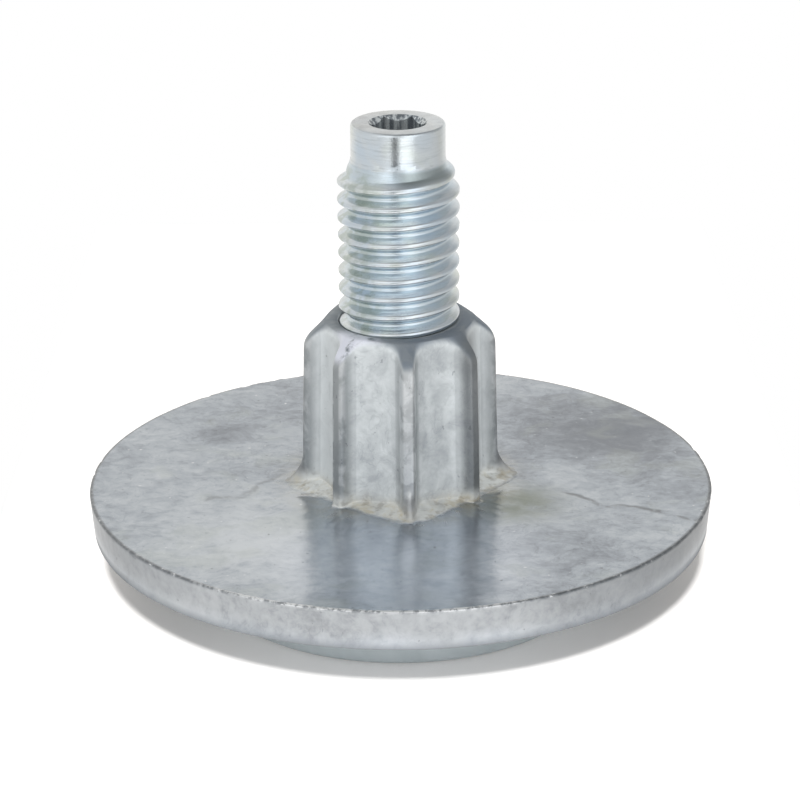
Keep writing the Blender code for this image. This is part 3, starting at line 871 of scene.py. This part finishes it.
def hub_colour(s, cast):
    """The hub's skin, with painted shade and a painted highlight on the cone, painted light and shade on the
    lands and their edges, painted shade in the corners and at an arch, and dark webs.
    """
    colour = s.ramp(s.remap(cast.tone, *TONE_RANGE), HUB_TONES)
    # Painted shade on the cone, stronger towards the right.
    cone_shade = s.math("MULTIPLY", s.attribute("cone"), s.remap(s.axis("X"), -5.0, 1.0, 0.5, 1.0))
    cone_shade = s.math("MULTIPLY", cone_shade, s.remap(cast.mottle, 0.42, 0.62, 1.0, 0.68))
    colour = s.mix(cone_shade, colour, CONE_SHADE)
    # A painted highlight on the left of the cone, broken by the mottle.
    cone_highlight = s.math("MULTIPLY", s.attribute("cone"), s.near(cast.flat, CONE_HIGHLIGHT_CENTRE, 1.2, 3.4))
    cone_highlight = s.math("MULTIPLY", cone_highlight, s.remap(cast.mottle, 0.32, 0.48))
    colour = s.mix(cone_highlight, colour, CONE_HIGHLIGHT)
    # Of the lands, the one in front has a painted highlight and the next on the right painted shade.
    land_shade = s.near(cast.flat, LAND_SHADE_CENTRE, 1.5, 3.5)
    land = s.mix(s.remap(cast.mottle, 0.40, 0.58), LAND_HIGHLIGHT_DIM, LAND_HIGHLIGHT_FULL)
    land = s.mix(s.near(cast.flat, LAND_HIGHLIGHT_CENTRE, 1.5, 3.5), LAND_SKIN, land)
    land = s.mix(land_shade, land, LAND_SHADE_COLOUR)
    colour = s.mix(s.math("MULTIPLY", s.attribute("land"), 0.50), colour, land)
    # Painted shade in the corners of the flutes.
    colour = s.mix(s.math("MULTIPLY", s.attribute("corner"), 0.32), colour, CORNER_SHADE)
    # Painted shade at the top of a flute on the right of the hub.
    colour = s.mix(s.near(s.place, ARCH_SHADE_CENTRE, 0.6, 3.0, 0.85), colour, ARCH_SHADE)
    # Painted highlights on the edges of the lands, except on the shaded one.
    edge_highlight = s.math("MULTIPLY", s.attribute("highlit_edge"), s.remap(cast.mottle, 0.42, 0.60, 0.0, 0.5))
    edge_highlight = s.math("MULTIPLY", edge_highlight, s.math("SUBTRACT", 1.0, land_shade))
    colour = s.mix(edge_highlight, colour, LAND_EDGE_HIGHLIGHT)
    return s.mix(s.math("MULTIPLY", s.attribute("web"), 0.7), colour, WEB_SKIN)


def rim_colour(s, cast):
    """The rim's flecked skin, with painted shade towards the two sides, most on the right."""
    colour = s.ramp(s.remap(s.vary(cast.tone, cast.fleck, 0.42), *TONE_RANGE), RIM_TONES)
    # Painted shade towards both sides, more on the right.
    left = s.remap(s.axis("X"), -23.0, -12.0, 0.35, 0.0)
    right = s.remap(s.axis("X"), 6.0, 24.0, 0.0, 0.75)
    return s.mix(s.math("ADD", left, right), colour, RIM_SIDE_SHADE)


def stained(s, cast, colour):
    """A sandy stain on the ledge round the hub's foot, with dark specks, which spills over the plate."""
    patchy = s.math("MULTIPLY", s.remap(cast.mottle, 0.38, 0.62), s.remap(cast.streak, 0.35, 0.6))
    spill = s.remap(s.vector("LENGTH", cast.flat), 8.5, 11.5, 0.5, 0.0)
    stain = s.math("MAXIMUM", s.attribute("stain"), spill)
    stain = s.math("MULTIPLY", stain, s.math("MULTIPLY_ADD", patchy, 0.7, 0.30))
    stain = s.math("MULTIPLY", stain, s.remap(s.axis("Z"), STAIN_TOP - 1.5, STAIN_TOP, 1.0, 0.0))
    colour = s.mix(stain, colour, LEDGE_STAIN)
    specks = s.remap(s.noise(s.place, 1.3, 3.0, 0.6), 0.50, 0.68, 0.0, 0.45)
    return s.mix(s.math("MULTIPLY", s.attribute("stain"), specks), colour, LEDGE_SPECK)


def dark_marks_and_shade(s, cast):
    """How dark the pits and the cold-flow lines on the plate are, with painted shade on the underside."""
    pits = s.noise(s.vector("MULTIPLY", s.place, (1.0, 0.8, 0.7)), 2.4, 2.0, 0.5)
    dark = s.math("MULTIPLY", s.remap(pits, 0.70, 0.76), 0.45)
    ragged = s.vector("ADD", cast.flat, s.vector("SCALE", cast.bend, scale=0.8))
    ragged = s.vector("MULTIPLY", ragged, (1.0, 1.0, 0.0))
    elsewhere = s.math("MAXIMUM", s.attribute("hub"), s.attribute("rim"))
    broken = s.remap(cast.mottle, 0.38, 0.58)
    for darkness, path in FLOW_LINES:
        nearest = s.segment(ragged, *path[:2])
        for ends in zip(path[1:], path[2:]):
            nearest = s.math("MINIMUM", nearest, s.segment(ragged, *ends))
        crease = s.math("MULTIPLY", s.remap(nearest, 0.06, 0.60, darkness, 0.0), broken)
        crease = s.math("MULTIPLY", crease, s.math("SUBTRACT", 1.0, elsewhere))
        dark = s.math("MAXIMUM", dark, crease)
    # The underside is darkened by painted shade.
    return s.math("MAXIMUM", dark, s.math("MULTIPLY", s.attribute("under"), 0.9))


def casting_material():
    """As-cast zinc alloy: marbled satin grey with cold-flow lines, pits and a stained foot, with painted
    highlights on the edges, painted shade and light in patches, and painted shade underneath.
    """
    s = Shader("die_cast_zinc")
    cast = CastPattern(s)
    colour = s.mix(s.attribute("hub"), plate_colour(s, cast), hub_colour(s, cast))
    colour = s.mix(s.attribute("rim"), colour, rim_colour(s, cast))
    colour = stained(s, cast, colour)
    # The top edge of the rim has painted highlights, glints along it that are strongest in front, and is
    # darker in places elsewhere.
    edge_spots = s.noise(s.place, 1.6, 4.0, 0.7)
    edge = s.attribute("edge")
    front_edge_highlight = s.near(cast.flat, EDGE_HIGHLIGHT_CENTRE, 7.0, 16.0)
    dark_edge = s.math("MULTIPLY", edge, s.math("SUBTRACT", 1.0, front_edge_highlight))
    dark_edge = s.math("MULTIPLY", dark_edge, s.remap(edge_spots, 0.45, 0.60, 0.6, 0.0))
    dark = s.math("MAXIMUM", dark_marks_and_shade(s, cast), dark_edge)
    colour = s.mix(dark, colour, DARK_MARK_AND_SHADE)
    bright = s.math("MULTIPLY", front_edge_highlight, s.remap(edge_spots, 0.43, 0.54))
    bright = s.math("MAXIMUM", s.remap(edge_spots, 0.60, 0.68), bright)
    colour = s.mix(s.math("MULTIPLY", edge, bright), colour, EDGE_GLINT)
    rough = s.math("MULTIPLY_ADD", cast.grain, 0.05, PLATE_ROUGHNESS)
    rough = s.math("MULTIPLY_ADD", cast.mottle, 0.15, rough)
    for mask, added in ADDED_ROUGHNESS:
        rough = s.math("MULTIPLY_ADD", s.attribute(mask), added, rough)
    metal = s.math("MULTIPLY_ADD", s.attribute("under"), -0.9, 1.0)
    metal = s.math("MULTIPLY_ADD", s.attribute("matt"), -0.6, metal)
    s.set(base_color=colour, roughness=rough, metallic=s.math("MAXIMUM", metal, 0.0))
    soft = s.noise(cast.place, 0.5, 2.0, 0.5)
    height = s.math("MULTIPLY_ADD", cast.grain, 0.06, s.math("MULTIPLY", soft, 0.7))
    coarse = s.math("MULTIPLY_ADD", cast.grain, 0.3, s.math("MULTIPLY", cast.mottle, 1.4))
    height = s.math("MULTIPLY_ADD", s.attribute("hub"), coarse, height)
    s.bump(s.math("SUBTRACT", height, s.math("MULTIPLY", dark, 0.5)), CAST_BUMP)
    return s.material


# Colours of the stud: its plating from warm to bluish, then those of single marks and of painted shade and
# glints
PLATING_TONES = ((0.30, (0.67, 0.72, 0.70)), (0.45, (0.68, 0.73, 0.76)), (0.70, (0.62, 0.70, 0.77)))
ROOT_TINT = (0.58, 0.69, 0.77)
TURNED_RING = (0.42, 0.46, 0.48)
RUN_OUT_SHADE = (0.27, 0.31, 0.30)
NECK_SCRATCH = (0.40, 0.44, 0.46)
GREEN_TINT = (0.43, 0.49, 0.43)
END_FACE = (0.36, 0.38, 0.40)
SOCKET_SHADE = (0.13, 0.15, 0.17)
SOCKET_GLINT = (0.62, 0.66, 0.67)
STUD_BUMP = 0.018 * MM


def stud_material():
    """Bright zinc plating with a bluish cast, a green tint and turning marks, painted shade where the thread
    runs out and a socket painted with shade and glints.
    """
    s = Shader("zinc_plated_steel")
    colour = s.ramp(s.noise(s.place, 0.35, 2.0, 0.5, 0.4), PLATING_TONES)
    rings = s.noise(s.vector("MULTIPLY", s.place, (0.25, 0.25, 7.0)), 1.0, 4.0, 0.7)
    speck = s.noise(s.place, 3.0, 3.0, 0.6)
    thread = s.attribute("thread")
    smooth = s.math("SUBTRACT", 1.0, thread)
    colour = s.mix(s.math("MULTIPLY", s.attribute("root"), 0.6), colour, ROOT_TINT)
    colour = s.mix(s.remap(rings, 0.45, 0.7, 0.0, 0.25), colour, TURNED_RING)
    # Painted shade where the first groove runs out.
    colour = s.mix(s.math("MULTIPLY", s.attribute("groove_shade"), 0.75), colour, RUN_OUT_SHADE)
    scratches = s.noise(s.vector("MULTIPLY", s.place, (0.35, 0.35, 3.2)), 1.0, 4.0, 0.65)
    scratched = s.math("MULTIPLY", smooth, s.remap(scratches, 0.50, 0.70, 0.0, 0.42))
    colour = s.mix(scratched, colour, NECK_SCRATCH)
    flat = s.vector("MULTIPLY", s.place, (1.0, 1.0, 0.0))
    green = s.math("MULTIPLY", thread, s.near(flat, GREEN_SIDE, 1.5, 4.5, 0.60))
    green = s.math("MULTIPLY", green, s.remap(s.noise(s.place, 0.9, 3.0, 0.6), 0.42, 0.60))
    colour = s.mix(green, colour, GREEN_TINT)
    face = s.math("MULTIPLY", s.attribute("face"), s.remap(s.axis("X"), -3.5, 3.5, 0.70, 0.45))
    face = s.math("MULTIPLY", face, s.remap(s.noise(s.place, 1.1, 4.0, 0.65), 0.36, 0.62, 1.25, 0.75))
    colour = s.mix(face, colour, END_FACE)
    # The socket's walls are painted with shade, streaked with painted glints.
    recess = s.attribute("recess")
    socket_streaks = s.noise(s.vector("MULTIPLY", s.place, (2.4, 2.4, 0.15)), 1.0, 2.0, 0.6)
    wall = s.mix(s.remap(socket_streaks, 0.44, 0.58), SOCKET_SHADE, SOCKET_GLINT)
    colour = s.mix(s.math("MULTIPLY", recess, 0.85), colour, wall)
    rough = s.math("MULTIPLY_ADD", rings, 0.14, s.math("MULTIPLY_ADD", speck, 0.08, 0.05))
    rough = s.math("MULTIPLY_ADD", thread, 0.07, rough)
    metal = s.math("MULTIPLY_ADD", recess, -0.15, 1.0)
    s.set(base_color=colour, roughness=rough, metallic=metal, anisotropic=0.7)
    tangent = s.add("ShaderNodeTangent", direction_type="RADIAL", axis="Z")
    s.put(s.out.inputs["Tangent"], tangent.outputs["Tangent"])
    height = s.math("MULTIPLY_ADD", rings, 0.6, s.math("MULTIPLY", speck, 0.4))
    chatter = s.noise(s.vector("MULTIPLY", s.place, (1.4, 1.4, 4.5)), 1.0, 3.0, 0.6)
    s.bump(s.math("MULTIPLY_ADD", s.math("MULTIPLY", smooth, chatter), 0.7, height), STUD_BUMP)
    return s.material


# Colours of the pad, from dark to light
PAD_TONES = ((0.3, (0.375, 0.425, 0.445)), (0.7, (0.455, 0.505, 0.525)))
PAD_BUMP = 0.006 * MM


def pad_material():
    """Smooth moulded plastic in blue-grey, with a faint flow of tone and a fine moulded grain."""
    s = Shader("grey_plastic")
    colour = s.ramp(s.noise(s.place, 0.3, 3.0, 0.6, 0.5), PAD_TONES)
    grain = s.noise(s.place, 5.0, 2.0)
    s.set(base_color=colour, roughness=s.math("MULTIPLY_ADD", grain, 0.2, 0.28))
    s.bump(grain, PAD_BUMP)
    return s.material


def make_camera():
    camera = bpy.data.objects.new("camera", bpy.data.cameras.new("camera"))
    camera.data.lens = CAMERA_LENS
    pitch = Matrix.Rotation(math.pi / 2 - CAMERA_PITCH, 4, "X")
    roll = Matrix.Rotation(CAMERA_ROLL, 4, "Z")
    camera.matrix_world = Matrix.Translation(CAMERA_PLACE) @ pitch @ roll
    bpy.context.scene.collection.objects.link(camera)
    bpy.context.scene.camera = camera


def area_light(name, place, target, size, energy):
    """A square lamp that points at a target."""
    lamp = bpy.data.lights.new(name, "AREA")
    lamp.shape = "SQUARE"
    lamp.size = size
    lamp.energy = energy
    obj = bpy.data.objects.new(name, lamp)
    obj.location = place
    obj.rotation_euler = (Vector(target) - Vector(place)).to_track_quat("-Z", "Y").to_euler()
    bpy.context.scene.collection.objects.link(obj)
    return obj


# The sweep behind the object is a warmer white than the lamps.
SWEEP_AZIMUTH = 115
SWEEP_TINT = (1.0, 0.975, 0.94)
# Brightness of the studio by azimuth, in degrees from the camera's side with right positive: walls and
# lamps above the horizon, then the table below it
HORIZON = 0.06
WALLS = (
    (-180, 1.00),
    (-150, 1.00),
    (-115, 0.85),
    (-90, 0.80),
    (-72, 0.80),
    (-50, 1.00),
    (-30, 1.30),
    (-15, 1.30),
    (-12, 0.70),
    (-2, 0.70),
    (2, 0.95),
    (13, 0.95),
    (18, 1.55),
    (34, 1.55),
    (46, 1.10),
    (66, 0.75),
    (95, 0.60),
    (118, 0.70),
    (150, 1.00),
    (180, 1.00),
)
TABLE = (
    (-180, 1.00),
    (-140, 0.95),
    (-110, 0.80),
    (-40, 0.85),
    (-20, 1.05),
    (-18, 1.55),
    (-14, 0.16),
    (-0.5, 0.16),
    (4, 1.55),
    (30, 1.40),
    (42, 0.80),
    (85, 0.72),
    (120, 0.65),
    (150, 0.90),
    (180, 1.00),
)
OVERHEAD = 0.40
OVERHEAD_START = 45.0
OVERHEAD_END = 65.0
# Panels high on the left and on the right: direction, brightness. A panel fades between two cosines.
PANEL_EDGE = (0.78, 0.93)
HIGH_PANELS = (
    ((-0.62, 0.14, 0.77), 0.75),
    ((0.69, 0.39, 0.61), 0.50),
)


def make_world():
    """White to the camera. What metal mirrors and what lights the floor is a studio with dimmer sides."""
    world = bpy.data.worlds.new("studio")
    bpy.context.scene.world = world
    world.use_nodes = True
    tree = world.node_tree

    def node(kind, **settings):
        made = tree.nodes.new(kind)
        for key, value in settings.items():
            setattr(made, key, value)
        return made

    def math_node(operation, a, b=0.0):
        made = node("ShaderNodeMath", operation=operation)
        for socket, value in zip(made.inputs, (a, b)):
            if isinstance(value, bpy.types.NodeSocket):
                tree.links.new(value, socket)
            else:
                socket.default_value = value
        return made.outputs[0]

    def smooth_step(value, low, high):
        made = node("ShaderNodeMapRange", interpolation_type="SMOOTHSTEP")
        tree.links.new(value, made.inputs["Value"])
        made.inputs["From Min"].default_value = low
        made.inputs["From Max"].default_value = high
        return made.outputs["Result"]

    def blend(share, a, b):
        """Mixes two colours, of which each may be a grey given by its brightness."""
        made = node("ShaderNodeMix", data_type="RGBA", clamp_result=False)
        tree.links.new(share, made.inputs["Factor"])
        for socket, value in zip(made.inputs[6:8], (a, b)):
            if isinstance(value, bpy.types.NodeSocket):
                tree.links.new(value, socket)
            else:
                socket.default_value = (value, value, value, 1.0)
        return made.outputs[2]

    direction = node("ShaderNodeTexCoord").outputs["Generated"]
    split = node("ShaderNodeSeparateXYZ")
    tree.links.new(direction, split.inputs[0])
    right, back, up = split.outputs
    azimuth = math_node("ARCTAN2", right, math_node("MULTIPLY", back, -1.0))
    turn = math_node("ADD", math_node("DIVIDE", azimuth, math.tau), 0.5)

    def around(stops):
        """Brightness by azimuth, from a ramp."""
        ramp = node("ShaderNodeValToRGB")
        elements = ramp.color_ramp.elements
        elements.remove(elements[1])
        for i, (degrees, light) in enumerate(stops):
            place = degrees / 360.0 + 0.5
            element = elements[0] if i == 0 else elements.new(place)
            element.position = place
            tint = SWEEP_TINT if abs(degrees) >= SWEEP_AZIMUTH else (1.0, 1.0, 1.0)
            element.color = (*[light * channel for channel in tint], 1.0)
        tree.links.new(turn, ramp.inputs["Fac"])
        return ramp.outputs["Color"]

    light = blend(smooth_step(up, -HORIZON, HORIZON), around(TABLE), around(WALLS))
    steep = [math.sin(math.radians(a)) for a in (OVERHEAD_START, OVERHEAD_END)]
    light = blend(smooth_step(up, *steep), light, OVERHEAD)
    for place, brightness in HIGH_PANELS:
        panel = node("ShaderNodeVectorMath", operation="DOT_PRODUCT")
        tree.links.new(direction, panel.inputs[0])
        panel.inputs[1].default_value = place
        light = blend(smooth_step(panel.outputs["Value"], *PANEL_EDGE), light, brightness)
    rays = node("ShaderNodeLightPath")
    white = math_node("MAXIMUM", rays.outputs["Is Camera Ray"], rays.outputs["Is Transmission Ray"])
    light = blend(white, light, 1.0)
    tree.links.new(light, tree.nodes["Background"].inputs["Color"])


def floor_material():
    """White, with a little light of its own, most in the middle, so that the shadow stays pale."""
    s = Shader("floor")
    axes = s.add("ShaderNodeSeparateXYZ")
    s.put(axes.inputs[0], s.add("ShaderNodeNewGeometry").outputs["Position"])
    aside = s.math("ABSOLUTE", axes.outputs["X"])
    light = s.remap(aside, 8.0 * MM, 24.0 * MM, FLOOR_LIGHT_MIDDLE, FLOOR_LIGHT_SIDES)
    s.set(base_color=FLOOR_COLOUR, roughness=0.9)
    s.set(emission_color=(1.0, 1.0, 1.0, 1.0), emission_strength=light)
    s.out.inputs["Specular IOR Level"].default_value = 0.0
    return s.material


def make_studio():
    make_world()
    middle = (FLOOR_FRONT + FLOOR_BACK) / 2
    bpy.ops.mesh.primitive_plane_add(size=1.0, location=(0.0, middle, FLOOR_LEVEL))
    floor = bpy.context.object
    floor.name = "floor"
    floor.scale = (2 * FLOOR_HALF_WIDTH, FLOOR_BACK - FLOOR_FRONT, 1.0)
    floor.data.materials.append(floor_material())
    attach(floor, "pad")
    key = area_light("key", KEY_PLACE, KEY_TARGET, KEY_SIZE, KEY_POWER)
    key.visible_glossy = False


def main():
    make_camera()
    make_casting().data.materials.append(casting_material())
    make_stud().data.materials.append(stud_material())
    make_pad().data.materials.append(pad_material())
    make_studio()
    bpy.context.scene.view_settings.view_transform = "Standard"


main()
